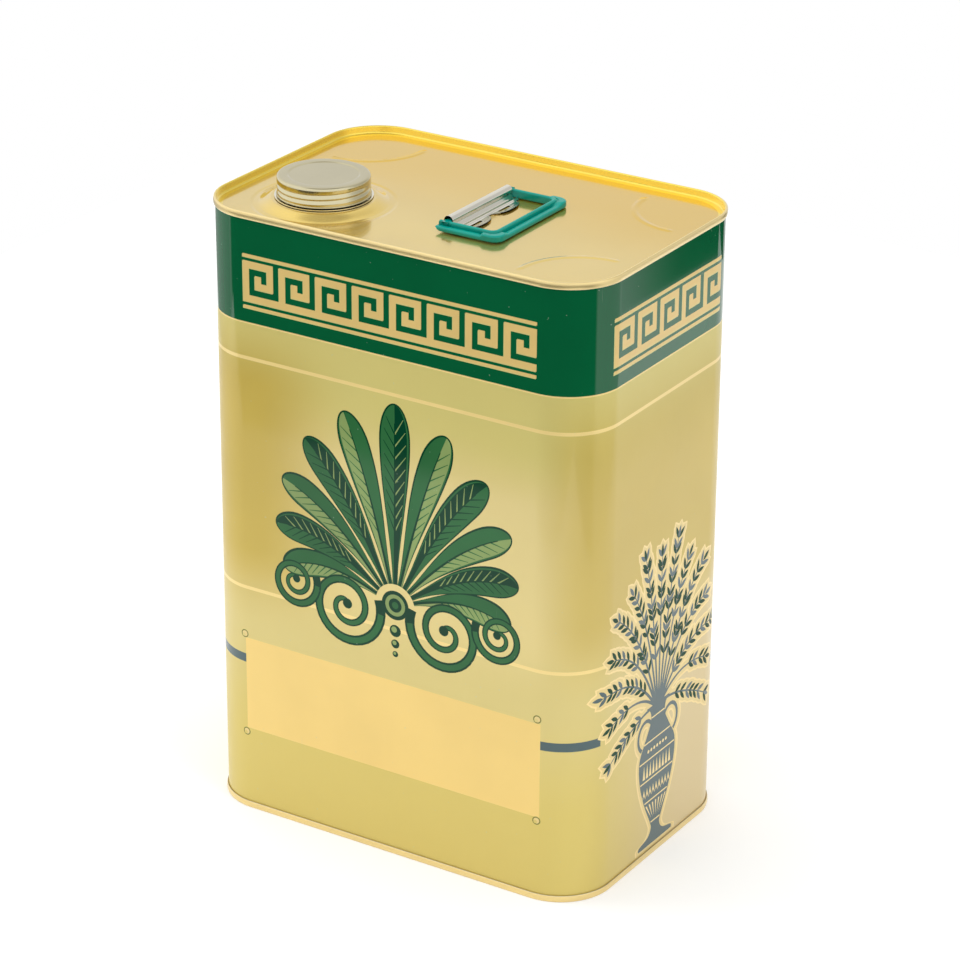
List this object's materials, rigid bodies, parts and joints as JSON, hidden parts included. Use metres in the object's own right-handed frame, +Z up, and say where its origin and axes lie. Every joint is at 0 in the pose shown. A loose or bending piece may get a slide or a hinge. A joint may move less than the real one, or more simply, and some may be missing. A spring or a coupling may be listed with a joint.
{
  "type": "olive oil tin",
  "caption": "Rectangular seamed oil tin with rounded corners, a screw cap over a pour spout in a raised neck, and a folding carry handle on the lid.",
  "frame": {"origin": "centre of the base, on the plane the bottom seam stands on", "axes": "+Z up, +X to the right along the broad front face, the front face looks along -Y"},
  "size_m": [0.1796, 0.1188, 0.2663],
  "materials": {
    "printed_tinplate": "gold lacquer with a printed green band, glossy",
    "gold_tinplate": "transparent gold lacquer over tinplate, glossy",
    "bare_tinplate": "bright tinplate, fine rolling lines",
    "cap_tinplate": "pale gold lacquer, satin",
    "sealing_rubber": "matt",
    "liner_foam": "matt foam",
    "spout_plastic": "milky polyethylene",
    "handle_plastic": "moulded teal green, glossy"
  },
  "bodies": {
    "tin": {"body_wrapper": "printed_tinplate", "top_end": "gold_tinplate", "bottom_end": "gold_tinplate", "top_seam_compound": "sealing_rubber", "bottom_seam_compound": "sealing_rubber", "screw_neck": "bare_tinplate", "neck_gasket": "sealing_rubber", "pour_spout": "spout_plastic", "handle_bracket": "bare_tinplate"},
    "liner": {"cap_liner": "liner_foam"},
    "cap": {"cap_shell": "cap_tinplate"},
    "handle": {"carry_handle": "handle_plastic"}
  },
  "joints": [
    {"name": "cap_lift", "type": "slide", "parent": "tin", "child": "liner", "axis": [0, 0, 1], "range_m": [0, 0.01121]},
    {"name": "cap_turn", "type": "hinge", "parent": "liner", "child": "cap", "pos_m": [-0.0506, -0.025, 0.2624], "axis": [0, 0, 1], "range_deg": [0, 1440]},
    {"name": "handle_swing", "type": "hinge", "parent": "tin", "child": "handle", "pos_m": [0.0064, -0.0038, 0.2583], "axis": [0, -1, 0], "range_deg": [0, 180]}
  ],
  "couplings": [
    {"joint": "cap_lift", "follows": "cap_turn", "m_per_rad": 0.00044563}
  ]
}
